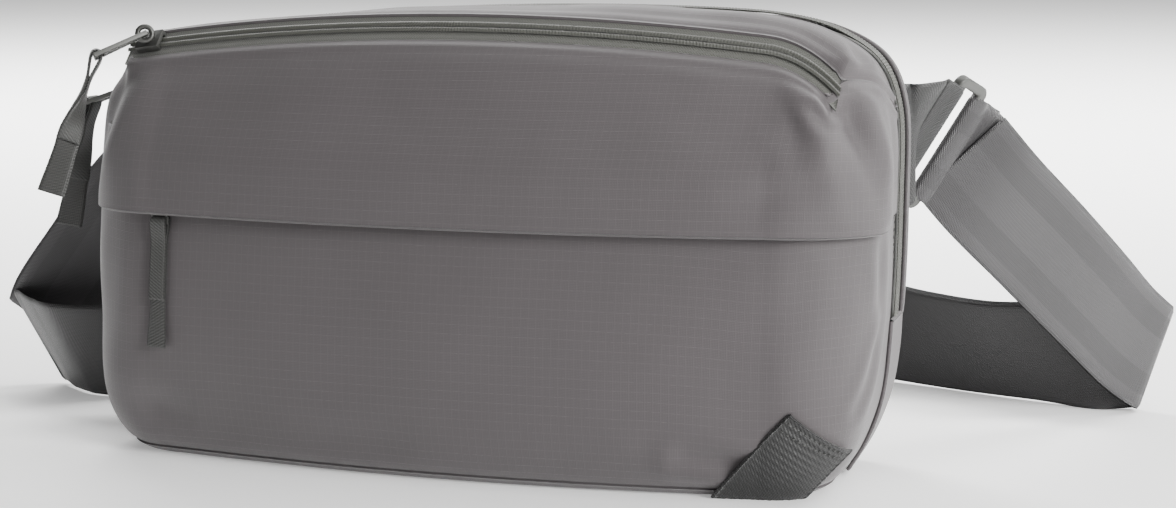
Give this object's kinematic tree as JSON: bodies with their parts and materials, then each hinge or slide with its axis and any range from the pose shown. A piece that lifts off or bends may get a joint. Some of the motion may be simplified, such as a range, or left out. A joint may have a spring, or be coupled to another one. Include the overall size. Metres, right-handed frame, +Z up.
{
  "type": "camera sling bag",
  "caption": "Padded sling bag with a flapped front pocket, a top pocket, a zipped main compartment with dividers, and an adjustable shoulder strap.",
  "frame": {"origin": "middle of the base, on the surface that the bag stands on", "axes": "+X towards the bag's right side as its front is looked at, +Y towards the back panel, +Z up"},
  "size_m": [0.5474, 0.2696, 0.1878],
  "materials": {
    "shell_fabric": "ripstop nylon",
    "zip_tape": "woven tape",
    "zip_coil": "nylon coil",
    "slider_metal": "dark satin",
    "moulded_plastic": "fine matt",
    "tab_webbing": "narrow webbing",
    "lining": "brushed loop lining over foam",
    "board": "stiff sheet",
    "dark_webbing": "ribbed webbing",
    "strap_webbing": "satin seat-belt webbing"
  },
  "bodies": {
    "bag_body": {"base_panel": "shell_fabric", "back_lower_panel": "shell_fabric", "side_panel_left": "shell_fabric", "side_panel_right": "shell_fabric", "top_panel": "shell_fabric", "front_upper_panel": "shell_fabric", "front_pocket_panel": "shell_fabric", "main_zip_tape_front": "zip_tape", "main_zip_coil_front": "zip_coil", "top_zip_tape": "zip_tape", "top_zip_coil": "zip_coil", "pocket_zip_tape": "zip_tape", "pocket_zip_coil": "zip_coil", "base_board": "board", "base_pad": "lining", "partition_pad": "lining", "side_pad_left": "lining", "side_pad_right": "lining", "back_lower_pad": "lining", "pocket_liner": "lining", "accessory_loop": "dark_webbing"},
    "back_panel": {"back_panel_shell": "shell_fabric", "back_pad": "lining", "main_zip_tape_rear": "zip_tape", "main_zip_coil_rear": "zip_coil"},
    "strap": {"strap_webbing": "strap_webbing", "strap_return": "strap_webbing", "strap_ring_left": "moulded_plastic", "strap_ring_right": "moulded_plastic", "wing_left": "dark_webbing", "wing_right": "dark_webbing"},
    "adjuster": {"strap_adjuster": "moulded_plastic"},
    "divider_left": {"divider_left": "lining"},
    "divider_right": {"divider_right": "lining"},
    "pocket_flap": {"pocket_flap": "shell_fabric"},
    "top_slider": {"top_slider": "slider_metal"},
    "top_pull": {"top_pull": "moulded_plastic"},
    "top_tab": {"top_pull_tab": "tab_webbing"},
    "main_slider": {"main_slider": "slider_metal"},
    "main_pull": {"main_pull": "moulded_plastic"},
    "main_tab": {"main_pull_tab": "tab_webbing"},
    "pocket_slider": {"pocket_slider": "slider_metal"},
    "pocket_tab": {"pocket_pull_tab": "tab_webbing"}
  },
  "joints": [
    {"name": "back_panel_open", "type": "hinge", "parent": "bag_body", "child": "back_panel", "pos_m": [0, 0.056, 0.064], "axis": [-1, 0, 0], "range_deg": [0, 30]},
    {"name": "strap_swing", "type": "hinge", "parent": "back_panel", "child": "strap", "pos_m": [0.174, 0.08, 0.13], "axis": [1, 0, 0], "range_deg": [0, 120]},
    {"name": "adjuster_slide", "type": "slide", "parent": "strap", "child": "adjuster", "axis": [-1, 0, 0], "range_m": [-0.04, 0.04]},
    {"name": "divider_left_slide", "type": "slide", "parent": "bag_body", "child": "divider_left", "axis": [1, 0, 0], "range_m": [-0.03, 0.03]},
    {"name": "divider_right_slide", "type": "slide", "parent": "bag_body", "child": "divider_right", "axis": [1, 0, 0], "range_m": [-0.03, 0.03]},
    {"name": "pocket_flap_lift", "type": "hinge", "parent": "bag_body", "child": "pocket_flap", "pos_m": [0, -0.05722, 0.125], "axis": [-1, 0, 0], "range_deg": [0, 25]},
    {"name": "top_slider_run", "type": "hinge", "parent": "bag_body", "child": "top_slider", "pos_m": [0, 0.49555, -0.34205], "axis": [0, 0.7071, 0.7071], "range_deg": [0, 19.5]},
    {"name": "top_pull_lift", "type": "hinge", "parent": "top_slider", "child": "top_pull", "pos_m": [-0.1413, -0.02229, 0.17579], "axis": [-0.4818, 0.8594, -0.1709], "range_deg": [0, 60]},
    {"name": "top_tab_swing", "type": "hinge", "parent": "top_pull", "child": "top_tab", "pos_m": [-0.15803, -0.03344, 0.16687], "axis": [-0.4818, 0.8594, -0.1709], "range_deg": [-3, 50]},
    {"name": "main_slider_run", "type": "slide", "parent": "bag_body", "child": "main_slider", "axis": [0, 0, -1], "range_m": [0, 0.065]},
    {"name": "main_pull_lift", "type": "hinge", "parent": "main_slider", "child": "main_pull", "pos_m": [-0.1741, 0.027, 0.15], "axis": [0, 1, 0], "range_deg": [-15, 60]},
    {"name": "main_tab_swing", "type": "hinge", "parent": "main_pull", "child": "main_tab", "pos_m": [-0.19479, 0.027, 0.14252], "axis": [0, 1, 0], "range_deg": [-10, 50]},
    {"name": "pocket_slider_run", "type": "hinge", "parent": "bag_body", "child": "pocket_slider", "pos_m": [0, 0.669, 0.112], "axis": [0, 0, 1], "range_deg": [0, 18.5]},
    {"name": "pocket_tab_swing", "type": "hinge", "parent": "pocket_slider", "child": "pocket_tab", "pos_m": [-0.12462, -0.04514, 0.1007], "axis": [-0.9851, 0.172, 0], "range_deg": [0, 65]}
  ]
}
